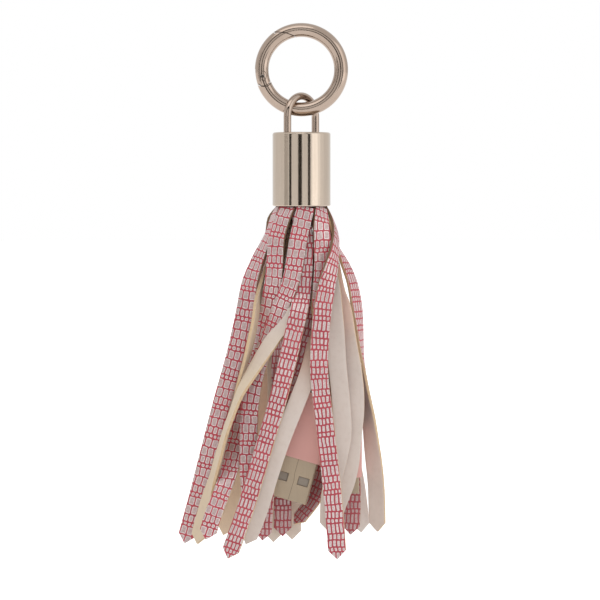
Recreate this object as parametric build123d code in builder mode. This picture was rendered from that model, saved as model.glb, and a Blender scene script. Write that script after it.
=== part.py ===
from build123d import *
import math
import os

os.makedirs("parts", exist_ok=True)

# ---------------------------------------------------------------- driving dimensions (mm)
# Spring-gate ring, its centre at the origin and its axis along Y
ring_outer = 13.95                # outer radius
wire = 4.2                        # ring wire
hinge_at = 190.0                  # degrees round the ring, seen from the front
pin_d = 1.1                       # hinge rivet
knuckle_r = 1.55                  # rounded end of the tongue
latch_outer, latch_mid, latch_inner = 127.0, 113.0, 101.6   # stepped latch joint
slot_w = 1.5                      # tongue and spring slot, along Y
# Bail: one bent wire in the roof of the cap
bail_wire = 2.3
bail_turn = 47.5                  # degrees about Z, left leg in front
bail_top = -6.75
# Cap
cap_r, cap_wall, cap_top, cap_h = 8.7, 0.7, -18.7, 22.1
roof = 0.9
leg_inset = 1.8                   # leg centre to the inside of the cap wall
# Leather strips
strip_w, strip_t = 5.4, 0.9
wall_inset = 0.65                 # outermost leather to the inside of the cap wall
ring_pitch = 1.15                 # from one ring of strips in the cap to the next
# Charging lead
cable_d = 3.0
usb_w, usb_t, usb_out = 12.0, 4.5, 12.8
usb_tilt = 16.3
usb_grip = (14.6, 8.0, 20.0)
micro_w, micro_t, micro_out = 6.85, 1.8, 5.0
micro_grip = (8.4, 5.6, 16.0)
# Clearances
gap = 0.35                        # between neighbouring strips
hole_play = 0.05                  # round a pin or leg in its hole

# ---------------------------------------------------------------- derived
wire_r = wire / 2
ring_mid = ring_outer - wire_r
ring_inner = ring_outer - wire
mouth = cap_top - cap_h
strip_top = mouth - 0.2
cap_inner = cap_r - cap_wall
bail_legs = 2 * (cap_inner - leg_inset)       # spacing of the two legs
rings = {"outer": cap_inner - wall_inset, "middle": cap_inner - wall_inset - ring_pitch,
         "inner": cap_inner - wall_inset - 2 * ring_pitch}
hinge = (ring_mid * math.cos(math.radians(hinge_at)), ring_mid * math.sin(math.radians(hinge_at)))

# Charging lead: way points of the two free runs, ending square on their plugs
usb_y, micro_y = -4.0, -2.0
usb_dir = (-math.sin(math.radians(usb_tilt)), 0, -math.cos(math.radians(usb_tilt)))
usb_joint = (-0.8, usb_y, -116.1)             # where shell and grip meet
relief = 8.0                                  # length of each strain relief


def along(point, direction, distance):
    return tuple(p + d * distance for p, d in zip(point, direction))


usb_grip_top = along(usb_joint, usb_dir, -usb_grip[2])
usb_end = along(usb_grip_top, usb_dir, -relief)
micro_joint = (13.9, micro_y, -121.9)
micro_grip_top = along(micro_joint, (0, 0, 1), micro_grip[2])
micro_end = along(micro_grip_top, (0, 0, 1), relief)
lead_apart = 3.4                              # the two legs side by side at the mouth
usb_lead = [(0, -lead_apart / 2, mouth), (0, -1.8, -47), (1.6, -2.2, -56), (5.9, -3.3, -69),
            along(usb_end, usb_dir, -7.5), usb_end]
micro_lead = [(0, lead_apart / 2, mouth), (0, 1.7, -48), (3.2, 1.0, -60), (8.6, -0.6, -73.5),
              (13.9, micro_y, -88.5), micro_end]

# ---------------------------------------------------------------- routes of the strips
# name: ring, bearing at the mouth, then way points x, y, z and the way the printed side
# faces (0 is -Y, 90 is +X), down to the tip.
routes = {
    "strand_01": ("outer", -80, [(-9.3, -2.6, -49, -66), (-12.4, -3.0, -56, -48),
        (-14.9, -3.8, -63, -30), (-16.7, -4.4, -72, -14), (-19.5, -4.4, -84, -6),
        (-23.7, -4.2, -99, -4), (-27.6, -4.0, -114, -4), (-31.5, -4.0, -129, -4),
        (-35.0, -4, -141.8, -4)]),
    "strand_02": ("middle", -60, [(-7.2, -2.6, -48, -66), (-9.4, -1.6, -56, -84),
        (-11.2, -3.0, -62, -95), (-12.1, -5.2, -66, -100), (-12.7, -7.6, -70, -104),
        (-13.4, -9.4, -75, -105), (-14.5, -10.0, -80, -105), (-15.7, -9.8, -85, -102),
        (-17.2, -9.0, -90, -100), (-19.2, -7.6, -97, -94), (-21.0, -7.0, -104, -90),
        (-23.3, -6.4, -112, -88), (-25.6, -5.2, -121, -88), (-27.6, -5.0, -129, -88),
        (-29.4, -5.0, -137, -88)]),
    "strand_03": ("outer", -35, [(-7.4, -7.4, -50, -30), (-8.2, -7.6, -58, -24),
        (-8.8, -7.4, -63, -20), (-10.6, -6.4, -72, -16), (-13.7, -4.4, -84, -12),
        (-17.2, -3.4, -99, -5), (-19.6, -3.8, -111, -6), (-21.6, -8.0, -119, -6),
        (-23.6, -11.4, -125, -6), (-26.2, -12.6, -132, -6), (-28.3, -12.6, -139.6, -6)]),
    "strand_04": ("outer", 10, [(-0.8, -9.0, -50, -4), (-2.4, -9.8, -60, -10),
        (-3.8, -10.0, -65, -13), (-5.6, -9.7, -69, -15), (-9.0, -8.8, -78, -18),
        (-12.6, -8.4, -87, -14), (-15.2, -8.0, -99, -8), (-15.6, -8.0, -111, 0),
        (-15.2, -8.2, -126, 4), (-14.4, -8.4, -140.5, 8)]),
    "strand_05": ("outer", 55, [(5.9, -6.8, -46.5, 32), (6.2, -7.0, -50, 22), (6.2, -6.8, -55, 14),
        (6.2, -6.6, -60, 12), (5.8, -6.9, -66, 16), (5.2, -7.6, -71, 40),
        (4.9, -8.4, -76, 90), (4.4, -9.6, -81, 140), (2.8, -11.2, -88, 178),
        (-1.4, -12.0, -99, 180), (-6.2, -12.6, -111, 180), (-9.6, -12.4, -121, 182),
        (-13.3, -11.4, -133, 185), (-16.6, -10.8, -141.2, 186)]),
    "strand_06": ("outer", 100, [(9.4, -1.6, -46, 86), (9.8, -4.6, -50, 74),
        (9.5, -7.4, -54, 60), (8.5, -9.8, -59, 40), (7.3, -11.2, -64, 20),
        (6.3, -11.9, -70, 8), (5.5, -12.4, -78, 4), (5.2, -13.2, -90, 0),
        (6.9, -13.6, -105, -4), (8.7, -13.8, -121, -6), (9.9, -13.6, -134, -8),
        (10.7, -13.2, -145.4, -8)]),
    "strand_07": ("outer", 145, [(9.0, 4.8, -50, 100), (12.4, 3.0, -57, 72), (15.2, 1.8, -64, 60),
        (17.0, 1.0, -74, 62), (18.2, 0.4, -86, 84), (19.8, 0, -99, 112),
        (21.0, -0.4, -111, 140), (22.4, -0.6, -124, 150), (22.9, -0.6, -138.6, 150)]),
    "strand_08": ("middle", -8.6, [(1.2, -6.8, -50, 0), (1.2, -7.6, -58, 4),
        (0.5, -8.2, -65.5, 2), (-0.1, -10.4, -70, 0), (-1.4, -12.5, -75, -2),
        (-2.6, -13.3, -80, -4), (-4.2, -13.6, -87, -8), (-7.4, -13.8, -99.5, -10),
        (-11.0, -14.2, -111.5, -12), (-16.2, -14.6, -129, -14), (-21.8, -14.8, -145.0, -14)]),
    "strand_09": ("inner", -65, [(-4.4, -2.4, -47, -70), (-4.2, -3.0, -53, -100),
        (-3.2, -4.0, -59, -150), (-1.8, -6.0, -64.5, -182), (-0.7, -8.6, -68.5, -190),
        (-1.2, -11.0, -71.5, -190), (-3.0, -11.6, -74, -194), (-5.2, -11.6, -76.7, -200),
        (-8.0, -11.6, -79.7, -206), (-10.6, -11.8, -83.5, -214), (-14.8, -12.4, -90, -232),
        (-18.2, -12.8, -96, -246), (-20.4, -12.8, -102, -254), (-22.5, -12.0, -108.5, -254),
        (-24.2, -10.4, -115, -254), (-25.8, -8.6, -121, -252), (-27.6, -7.2, -127.5, -240),
        (-29.4, -6.4, -134.5, -222), (-31.2, -6.2, -141.6, -210)]),
    "strand_10": ("inner", -5, [(0.8, -4.8, -50, -4), (2.6, -5.0, -57, 0),
        (3.6, -5.2, -63, 0), (3.4, -5.6, -70, 0), (2.0, -5.8, -77, 0),
        (0.2, -6.2, -83.5, -2), (-2.0, -6.6, -90, -6), (-5.8, -7.0, -99, -10),
        (-8.9, -6.6, -111, -8), (-10.6, -5.4, -125, -4), (-11.7, -4.6, -140.7, 0)]),
    "strand_11": ("middle", 42.8, [(5.8, -3.8, -49, 80), (7.0, -4.2, -55, 120),
        (7.8, -5.0, -60, 145), (8.2, -5.8, -66, 164), (8.6, -7.0, -72, 172),
        (9.4, -7.6, -78, 178), (10.2, -8.2, -87, 184), (11.6, -9.0, -99, 184),
        (12.1, -9.6, -109, 186), (10.6, -9.8, -117, 186), (8.6, -9.6, -126, 184),
        (8.0, -9.4, -137.6, 180)]),
    "strand_12": ("middle", 94.3, [(7.2, 0.6, -49, 112), (8.0, 0.6, -55, 140),
        (8.8, 0.2, -60, 156), (9.9, -0.8, -65.5, 162), (11.8, -2.2, -71, 165),
        (13.5, -3.8, -81, 166), (15.0, -5.2, -90, 168), (15.7, -6.8, -101, 178),
        (15.1, -7.2, -109, 184), (14.5, -7.6, -116.5, 186), (13.2, -7.8, -123.2, 186),
        (10.9, -8.0, -129.4, 184), (8.6, -8.0, -136.0, 182)]),
    "strand_13": ("middle", 145.7, [(5.6, 5.4, -49, 136), (7.4, 5.4, -56, 118),
        (8.8, 5.2, -63, 88), (10.2, 5.0, -70, 60), (11.6, 4.6, -80, 26), (12.6, 4.4, -90, 6),
        (13.6, 4.0, -103, 0), (14.8, 3.0, -118, -2), (15.2, 2.4, -130, -2),
        (14.8, 2.2, -139.9, -2)]),
    "strand_14": ("middle", 197, [(0.4, 6.4, -47, 184), (2.8, 7.2, -52.5, 176),
        (5.4, 8.8, -62, 172), (9.2, 8.8, -76, 170), (11.8, 8.0, -92, 172),
        (13.6, 7.2, -108, 176), (15.0, 6.8, -117, 176), (16.5, 6.4, -125, 178),
        (17.5, 6.2, -133, 178), (18.1, 6, -139.7, 178)]),
    "strand_15": ("inner", 115, [(4.2, 2.8, -50, 108), (4.4, 3.4, -58, 80),
        (4.6, 3.2, -68, 40), (5.4, 2.6, -82, 8), (7.0, 2.2, -98, 4),
        (8.0, 2.0, -110, 0), (7.2, 1.4, -120, -10), (2.8, 0.8, -130, -24),
        (-2.6, 0.8, -136.6, -30)]),
    "strand_16": ("inner", 175, [(0.3, 4.4, -47, 176), (0.2, 4.0, -52, 180),
        (-0.6, 3.2, -57, 186), (-2.6, 2.4, -63, 204), (-4.6, 1.8, -68, 230),
        (-6.2, 1.2, -74, 262), (-6.8, 0.6, -81, 300), (-6.5, 0.4, -89, 335),
        (-6.2, 0.2, -98, 352), (-5.9, 0.4, -110, 360), (-5.7, 1.0, -126, 362),
        (-5.7, 1.2, -140.2, 362)]),
    "strand_17": ("middle", 248.6, [(-6.6, 2.0, -49, -110), (-7.6, 2.4, -56, -120),
        (-8.0, 3.2, -65, -140), (-7.8, 3.8, -78, -166), (-7.6, 3.8, -96, -178),
        (-8.0, 3.6, -116, -180), (-8.5, 3.4, -142.3, -180)]),
    "strand_18": ("inner", 235, [(-3.5, 3.2, -47, -127), (-3.2, 3.8, -51, -132),
        (-3.0, 5.0, -56, -144), (-3.1, 5.9, -62, -157), (-3.3, 6.6, -70, -168),
        (-3.4, 6.8, -80, -174), (-3.2, 6.4, -96, -178), (-3.0, 6.0, -116, -182),
        (-2.8, 5.8, -141.8, -184)]),
    "strand_19": ("outer", -125, [(-7.6, 4.6, -47, -120), (-9.0, 5.4, -54, -126),
        (-11.6, 6.0, -64, -132), (-15.4, 6.6, -80, -138), (-19.8, 6.8, -98, -144),
        (-24.8, 6.4, -116, -150), (-29.2, 5.6, -136.4, -156)]),
    "strand_20": ("outer", 190, [(-1.9, 8.0, -47, -170), (-3.0, 9.2, -55, -168),
        (-4.6, 9.8, -63, -166), (-7.6, 9.8, -80, -166), (-10.0, 9.6, -98, -170),
        (-13.0, 9.2, -111, -172), (-16.6, 8.6, -121.4, -172), (-19.4, 8.2, -128.2, -172),
        (-22.0, 8.0, -135, -172), (-23.7, 8.0, -140.7, -172)]),
}
level_step = 3.2                              # height between sections
tip_h = strip_w / 2                           # square-cut point
slight_curl = 120.0                           # radius a strip keeps across its width


def smooth(way, column, z):
    """Value of one column of the way points at height z, on a smooth curve through them."""
    n = len(way)
    if z >= way[0][2]:
        return way[0][column]
    i = next((k for k in range(n - 1) if way[k + 1][2] <= z), n - 2)

    def slope(k):
        if k == 0 or k == n - 1:
            a, b = (0, 1) if k == 0 else (n - 2, n - 1)
            return (way[b][column] - way[a][column]) / (way[b][2] - way[a][2])
        return (way[k + 1][column] - way[k - 1][column]) / (way[k + 1][2] - way[k - 1][2])

    h = way[i + 1][2] - way[i][2]
    t = (z - way[i][2]) / h
    return ((2 * t**3 - 3 * t**2 + 1) * way[i][column] + (t**3 - 2 * t**2 + t) * h * slope(i)
            + (3 * t**2 - 2 * t**3) * way[i + 1][column] + (t**3 - t**2) * h * slope(i + 1))


def first_sections():
    """Every strip at every level: centre x, y, the way it faces, half width, curl radius."""
    strips = {}
    for name, (ring, bearing, way) in routes.items():
        a = math.radians(bearing)
        at_mouth = rings[ring]
        top = (at_mouth * math.sin(a), -at_mouth * math.cos(a), strip_top, bearing)
        points, tip = [top, *way], way[-1][2]
        levels = [strip_top - level_step * k for k in range(int((strip_top - tip) / level_step))]
        if levels[-1] - (tip + tip_h) < 1.5:
            levels.pop()
        levels += [tip + tip_h, tip]
        strips[name] = [[smooth(points, 0, z), smooth(points, 1, z), z, smooth(points, 3, z)]
                        for z in levels]
    return strips


def blocks_at(z):
    """Plugs and leads crossing height z, as upright rectangles the strips keep off."""
    found = []
    lean = usb_dir[0] / usb_dir[2]
    if usb_joint[2] - usb_out - 2 < z < usb_grip_top[2] + 2:
        grip = z > usb_joint[2] - 2
        found.append((usb_joint[0] + lean * (z - usb_joint[2]), usb_y, 0,
                      usb_grip[0] / 2 + 0.3 if grip else usb_w / 2 + 0.3,
                      usb_grip[1] / 2 if grip else usb_t / 2))
    if micro_joint[2] - micro_out - 1 < z < micro_grip_top[2] + 1:
        found.append((micro_joint[0], micro_y, 0, micro_grip[0] / 2, micro_grip[1] / 2))
    for lead, grip_top in ((usb_lead, usb_grip_top), (micro_lead, micro_grip_top)):
        runs = [*lead, grip_top]
        for a, b in zip(runs, runs[1:]):
            if b[2] < z <= a[2]:
                t = (z - a[2]) / (b[2] - a[2])
                half = 1.8 if z > lead[-1][2] else 2.6
                found.append((a[0] + (b[0] - a[0]) * t, a[1] + (b[1] - a[1]) * t, 0, half, half))
    return found


def push(a, b, room):
    """How far rectangle a must move to stand `room` clear of b: (x, y), or None."""
    best = None
    for facing in (a[2], b[2]):
        for turn in (0, 90):
            t = math.radians(facing + turn)
            ax, ay = math.sin(t), -math.cos(t)
            reach = room
            for s in (a, b):
                f = math.radians(s[2])
                reach += s[3] * abs(math.cos(f) * ax + math.sin(f) * ay)
                reach += s[4] * abs(math.sin(f) * ax - math.cos(f) * ay)
            d = (a[0] - b[0]) * ax + (a[1] - b[1]) * ay
            deep = reach - abs(d)
            if deep <= 0:
                return None
            cost = deep * (1 + 1.2 * abs(ax))
            if best is None or cost < best[0]:
                sign = 1 if d >= 0 else -1
                best = (cost, ax * sign * deep, ay * sign * deep)
    return best[1], best[2]


def settle(strips, rounds=160):
    """Lets the strips push each other apart, mostly front to back, keeping their lines smooth."""
    names = list(strips)
    home = {n: [tuple(s) for s in strips[n]] for n in names}
    worst = 0
    for turn in range(rounds):
        worst = 0
        for k in range(1, max(len(s) for s in strips.values())):
            here = [n for n in names if k < len(strips[n]) - 1]
            for i, a in enumerate(here):
                sa = strips[a][k]
                ra = (sa[0], sa[1], sa[3], strip_w / 2, strip_t / 2)
                for b in here[i + 1:]:
                    sb = strips[b][k]
                    if abs(sa[0] - sb[0]) > 6.6 or abs(sa[1] - sb[1]) > 6.6:
                        continue
                    rb = (sb[0], sb[1], sb[3], strip_w / 2, strip_t / 2)
                    move = push(ra, rb, gap)
                    if move:
                        worst = max(worst, math.hypot(*move))
                        for s, sign in ((sa, 0.5), (sb, -0.5)):
                            s[0] += move[0] * sign * 0.8
                            s[1] += move[1] * sign * 0.8
                        ra = (sa[0], sa[1], sa[3], strip_w / 2, strip_t / 2)
                for block in blocks_at(sa[2]):
                    move = push(ra, block, gap)
                    if move:
                        worst = max(worst, math.hypot(*move))
                        sa[0] += move[0] * 0.8
                        sa[1] += move[1] * 0.8
                        ra = (sa[0], sa[1], sa[3], strip_w / 2, strip_t / 2)
        if turn < rounds - 40:
            for n in names:
                line = strips[n]
                for c in (0, 1):
                    off = [s[c] - h[c] for s, h in zip(line, home[n])]
                    for k in range(1, len(line) - 2):
                        line[k][c] += 0.12 * (off[k - 1] + off[k + 1] - 2 * off[k])
        for n in names:                          # the tip goes on in the line of the strip
            line = strips[n]
            t = (line[-1][2] - line[-2][2]) / (line[-2][2] - line[-3][2])
            for c in (0, 1):
                line[-1][c] = line[-2][c] + t * (line[-2][c] - line[-3][c])
    print("strips settled, deepest overlap left", round(worst, 3))
    return strips


strips = settle(first_sections())


# ---------------------------------------------------------------- helpers
def save(built, name):
    built.part.label = name
    export_step(built.part, f"parts/{name}.step")
    print(name, round(built.part.volume, 1))


def round_ring(angle, radius):
    """A point in the plane of the ring."""
    a = math.radians(angle)
    return (radius * math.cos(a), radius * math.sin(a))


front = Plane(origin=(0, 0, 0), x_dir=(1, 0, 0), z_dir=(0, -1, 0))     # seen from -Y

# ---------------------------------------------------------------- ring, gate and rivet
far = ring_outer + 4
near = ring_inner - 4
seat = 2.75                       # radius of the gate's round end, about the rivet
joint = 0.16                      # gap at the latch
open_arc = [round_ring(a, far) for a in range(135, 190, 9)]
shut_arc = [round_ring(a, near) for a in range(181, 110, -9)]


def gate_zone(shift):
    """Outline of the gate in the plane of the ring; shift (mm) opens it at the latch."""
    def latch(angle, radius):
        return round_ring(angle - math.degrees(shift / ring_mid), radius)
    step = [latch(latch_inner, near), latch(latch_inner, ring_inner + 0.5),
            latch(latch_mid, ring_mid), latch(latch_outer, ring_outer - 0.5),
            latch(latch_outer, far)]
    return [*step, *open_arc, round_ring(hinge_at, far), round_ring(hinge_at, near), *shut_arc]


tongue_end = round_ring(hinge_at + 16, ring_mid)
tongue_lean = math.degrees(math.atan2(tongue_end[1] - hinge[1], tongue_end[0] - hinge[0]))
tongue_middle = ((tongue_end[0] + hinge[0]) / 2, (tongue_end[1] + hinge[1]) / 2)
slot_outer = [round_ring(a, ring_inner + (1.6 if a > 163 else 0.6)) for a in range(184, 147, -4)]
slot_inner = [round_ring(a, near) for a in range(148, 185, 4)]

with BuildPart() as ring_body:
    with BuildSketch(Plane.XY):
        with Locations((ring_mid, 0)):
            Circle(wire_r)
    revolve(axis=Axis.Y, revolution_arc=360)
    with BuildSketch(front):
        Polygon(*gate_zone(joint), align=None)
        with Locations(hinge):
            Circle(seat + 0.2)
    extrude(amount=wire, both=True, mode=Mode.SUBTRACT)
    with BuildSketch(front):                     # tongue round the rivet
        with Locations(hinge):
            Circle(knuckle_r)
        with Locations(Location(tongue_middle, tongue_lean)):
            Rectangle(math.dist(tongue_end, hinge), 2 * knuckle_r - 0.3)
    extrude(amount=slot_w / 2 - 0.15, both=True)
    with BuildSketch(front):
        with Locations(hinge):
            Circle(pin_d / 2)
    extrude(amount=wire, both=True, mode=Mode.SUBTRACT)
save(ring_body, "ring_body")

with BuildPart() as gate:
    with BuildSketch(Plane.XY):
        with Locations((ring_mid, 0)):
            Circle(wire_r)
    revolve(axis=Axis.Y, revolution_arc=360)
    with BuildSketch(front):
        Polygon(*gate_zone(0), align=None)
        with Locations(hinge):
            Circle(seat)
    extrude(amount=wire, both=True, mode=Mode.INTERSECT)
    with BuildSketch(front):                     # fork, spring relief, rivet hole
        with Locations(hinge):
            Circle(seat + 0.4)
        Polygon(*slot_outer, *slot_inner, align=None)
    extrude(amount=slot_w / 2, both=True, mode=Mode.SUBTRACT)
    with BuildSketch(front):
        with Locations(hinge):
            Circle(pin_d / 2)
    extrude(amount=wire, both=True, mode=Mode.SUBTRACT)
save(gate, "gate")

with BuildPart() as gate_pin:
    with BuildSketch(front):
        with Locations(hinge):
            Circle(pin_d / 2 - hole_play)
    extrude(amount=wire_r - 0.35, both=True)
save(gate_pin, "gate_pin")

# Small spring standing on the tongue in the relief of the gate
spring_x, spring_low, spring_high = -10.55, -0.72, 2.3
spring_wire, spring_r = 0.24, 0.44
with BuildPart() as gate_spring:
    with BuildLine(Plane(origin=(spring_x, 0, spring_low + spring_wire / 2))):
        coil = Helix(pitch=(spring_high - spring_low - spring_wire) / 5,
                     height=spring_high - spring_low - spring_wire, radius=spring_r)
    with BuildSketch(Plane(origin=coil @ 0, z_dir=coil % 0)):
        Circle(spring_wire / 2)
    sweep()
save(gate_spring, "gate_spring")

# ---------------------------------------------------------------- bail
arch_r = bail_legs / 2
arch_z = bail_top - bail_wire / 2 - arch_r
washer_t, foot_t, foot_d = 0.8, 0.7, 3.2
roof_under = cap_top - roof
bail_plane = Plane(origin=(0, 0, 0), x_dir=(math.cos(math.radians(bail_turn)),
                   math.sin(math.radians(bail_turn)), 0),
                   z_dir=(math.sin(math.radians(bail_turn)), -math.cos(math.radians(bail_turn)), 0))
foot_z = roof_under - washer_t - foot_t
with BuildPart() as bail:
    with BuildLine(bail_plane):
        left = Line((-arch_r, foot_z), (-arch_r, arch_z))
        arch = RadiusArc((-arch_r, arch_z), (arch_r, arch_z), arch_r)
        right = Line((arch_r, arch_z), (arch_r, foot_z))
    with BuildSketch(Plane(origin=left @ 0, z_dir=(0, 0, 1))):
        Circle(bail_wire / 2)
    sweep()
    with BuildSketch(Plane(origin=(0, 0, foot_z), x_dir=bail_plane.x_dir, z_dir=(0, 0, 1))):
        with Locations((-arch_r, 0), (arch_r, 0)):
            Circle(foot_d / 2)
    extrude(amount=foot_t - 0.02)
save(bail, "bail")

# ---------------------------------------------------------------- cap and what it holds
leg_plane = Plane(origin=(0, 0, roof_under - washer_t), x_dir=bail_plane.x_dir, z_dir=(0, 0, 1))
with BuildPart() as cap:
    with BuildSketch(Plane.XY.offset(mouth)):
        Circle(cap_r)
    extrude(amount=cap_h)
    fillet(cap.edges().sort_by(Axis.Z)[-1], 0.7)
    fillet(cap.edges().sort_by(Axis.Z)[0], 0.3)
    with BuildSketch(Plane.XY.offset(mouth)):
        Circle(cap_inner)
    extrude(amount=cap_h - roof, mode=Mode.SUBTRACT)
    with BuildSketch(leg_plane):
        with Locations((-arch_r, 0), (arch_r, 0)):
            Circle(bail_wire / 2 + hole_play)
    extrude(amount=2 * (roof + washer_t), mode=Mode.SUBTRACT)
save(cap, "cap")

with BuildPart() as bail_washer:
    with BuildSketch(Plane(origin=(0, 0, roof_under - washer_t), x_dir=bail_plane.x_dir,
                           z_dir=(0, 0, 1))):
        Circle(cap_inner - 2 * hole_play)
        with Locations((-arch_r, 0), (arch_r, 0)):
            Circle(bail_wire / 2 + hole_play, mode=Mode.SUBTRACT)
    extrude(amount=washer_t - 0.02)
save(bail_washer, "bail_washer")

# Rolled header the strips are cut from: a flat spiral of the same leather
header_top = -25.0
roll_turns, roll_start = 2.1, rings["inner"] - 0.1
roll_pitch = ring_pitch


def roll(side):
    steps = int(roll_turns * 24)
    return [((roll_start + roll_pitch * k / 24 + side) * math.cos(math.tau * k / 24),
             (roll_start + roll_pitch * k / 24 + side) * math.sin(math.tau * k / 24))
            for k in range(steps + 1)]


with BuildPart() as header_roll:
    with BuildSketch(Plane.XY.offset(mouth - 0.1)):
        Polygon(*roll(strip_t / 2), *reversed(roll(-strip_t / 2)), align=None)
    extrude(amount=header_top - mouth + 0.1)
save(header_roll, "header_roll")

# Lead doubled over inside the roll
bend_z = -30.0
with BuildPart() as cable_bend:
    with BuildLine(Plane.YZ):
        down = Line((-lead_apart / 2, mouth + 0.02), (-lead_apart / 2, bend_z))
        turn = RadiusArc((-lead_apart / 2, bend_z), (lead_apart / 2, bend_z), lead_apart / 2)
        Line((lead_apart / 2, bend_z), (lead_apart / 2, mouth + 0.02))
    with BuildSketch(Plane(origin=down @ 0, z_dir=(0, 0, 1))):
        Circle(cable_d / 2)
    sweep()
save(cable_bend, "cable_bend")

# Setting compound that holds roll, lead and bail in the cap
with BuildPart() as core_plug:
    with BuildSketch(Plane.XY.offset(header_top + 0.05)):
        Circle(cap_inner - 0.02)
    extrude(amount=foot_z - header_top - 0.07)
save(core_plug, "core_plug")

# ---------------------------------------------------------------- strips
def section(s, half, curl):
    """Six corners across a strip: outer side left to right, then back along the inner side."""
    f = math.radians(s[3])
    wide, out = (math.cos(f), math.sin(f)), (math.sin(f), -math.cos(f))
    corners = []
    for side, ends in ((strip_t / 2, (-1, 0, 1)), (-strip_t / 2, (1, 0, -1))):
        for e in ends:
            a = e * half / curl
            u, v = (curl + side) * math.sin(a), (curl + side) * math.cos(a) - curl
            corners.append((s[0] + wide[0] * u + out[0] * v, s[1] + wide[1] * u + out[1] * v, s[2]))
    return corners


for name, line in strips.items():
    with BuildPart() as strand:
        for k, s in enumerate(line):
            half = 0.15 if k == len(line) - 1 else strip_w / 2
            curl = rings[routes[name][0]] if k == 0 else slight_curl
            with BuildSketch(Plane(origin=(0, 0, s[2]), z_dir=(0, 0, 1))):
                Polygon(*[c[:2] for c in section(s, half, curl)], align=None)
        loft(ruled=True)
    save(strand, name)

# ---------------------------------------------------------------- charging lead and plugs
def lead_tube(points, name):
    radii = []
    for a, b, c in zip(points, points[1:], points[2:]):
        u = [q - p for p, q in zip(a, b)]
        v = [q - p for p, q in zip(b, c)]
        lu, lv = math.hypot(*u), math.hypot(*v)
        turn = math.acos(max(-1, min(1, sum(p * q for p, q in zip(u, v)) / lu / lv)))
        radii.append(round(0.45 * min(lu, lv) / math.tan(turn / 2), 2))
    print(name, "radii", radii)
    with BuildPart() as lead:
        with BuildLine():
            path = FilletPolyline(*points, radius=radii)
        with BuildSketch(Plane(origin=path @ 0, z_dir=path % 0)):
            Circle(cable_d / 2)
        sweep()
    print("by its length", round(path.length * math.pi * cable_d**2 / 4, 1), "long", path.length)
    save(lead, name)


lead_tube([(x, y, z + (0 if k else -0.01)) for k, (x, y, z) in enumerate(usb_lead)], "cable_usb_a")
lead_tube([(x, y, z + (0 if k else -0.01)) for k, (x, y, z) in enumerate(micro_lead)], "cable_micro")


def plug(kind, joint, direction, size, grip, out, wall, holes, tongue_size, contacts):
    """Grip, strain relief, shell, insert and contacts of one plug, looking along its axis."""
    base = Plane(origin=joint, x_dir=(-direction[2], 0, direction[0]), z_dir=direction)
    width, thick = size
    with BuildPart() as body:
        with BuildSketch(base.offset(-grip[2])):
            RectangleRounded(grip[0] - 1.2, grip[1] - 1.2, 1.4)
        with BuildSketch(base.offset(-grip[2] + 2.0)):
            RectangleRounded(grip[0], grip[1], 1.8)
        with BuildSketch(base):
            RectangleRounded(grip[0], grip[1], 1.8)
        loft(ruled=True)
        with BuildSketch(base):
            Rectangle(width + 0.04, thick + 0.04)
        extrude(amount=-6.0, mode=Mode.SUBTRACT)
    save(body, f"{kind}_grip")
    with BuildPart() as sleeve:
        with BuildSketch(base.offset(-grip[2] - 0.02)):
            Circle(cable_d / 2 + 1.3)
        with BuildSketch(base.offset(-grip[2] - relief + 0.02)):
            Circle(cable_d / 2 + 0.5)
        loft()
    save(sleeve, f"{kind}_relief")
    with BuildPart() as shell:
        with BuildSketch(base.offset(-5.9)):
            RectangleRounded(width, thick, min(0.5, thick / 3))
        extrude(amount=out + 5.9)
        with BuildSketch(base.offset(-5.9 + wall)):
            RectangleRounded(width - 2 * wall, thick - 2 * wall, min(0.3, thick / 6))
        extrude(amount=out + 6, mode=Mode.SUBTRACT)
        if holes:
            spots, hole = holes
            with BuildSketch(Plane(origin=joint, x_dir=base.x_dir, z_dir=(0, -1, 0))):
                with Locations(*spots):
                    Rectangle(*hole)
            extrude(amount=thick, both=True, mode=Mode.SUBTRACT)
    save(shell, f"{kind}_shell")
    tw, tt, lift = tongue_size
    with BuildPart() as insert:
        with BuildSketch(base.offset(-5.9 + wall + 0.02)):
            RectangleRounded(width - 2 * wall - 0.06, thick - 2 * wall - 0.06, min(0.4, thick / 5))
        extrude(amount=1.6)
        with BuildSketch(base.offset(-5.9 + wall + 1.6)):
            with Locations((0, lift)):
                Rectangle(tw, tt)
        extrude(amount=out + 5.9 - wall - 2.2)
    save(insert, f"{kind}_insert")
    number, pitch, cw, ct = contacts
    with BuildPart() as pins:
        with BuildSketch(base.offset(0)):
            with GridLocations(pitch, 1, number, 1):
                with Locations((0, lift - tt / 2 - ct / 2 - 0.01)):
                    Rectangle(cw, ct)
        extrude(amount=out - 1.2)
    save(pins, f"{kind}_contacts")


hole_row = 6.3
plug("usb_a", usb_joint, usb_dir, (usb_w, usb_t), usb_grip, usb_out, 0.3,
     ([(-3.2, -hole_row), (3.2, -hole_row)], (3.1, 2.4)), (11.0, 1.8, 0.95), (4, 2.5, 1.1, 0.15))
plug("micro", micro_joint, (0, 0, -1), (micro_w, micro_t), micro_grip, micro_out, 0.2,
     None, (5.2, 0.5, 0.2), (5, 0.65, 0.35, 0.1))
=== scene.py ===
# %% [markdown]
# # A leather tassel key charm with a charging lead inside
# A spring-gate ring carries a bail, the bail carries a brushed metal cap, and the cap holds
# twenty strips of printed leather. A short charging lead hides between the strips. The packed
# model is the fixed frame: every piece here is in metres and sits where the model says.

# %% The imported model
import math
import random

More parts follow.
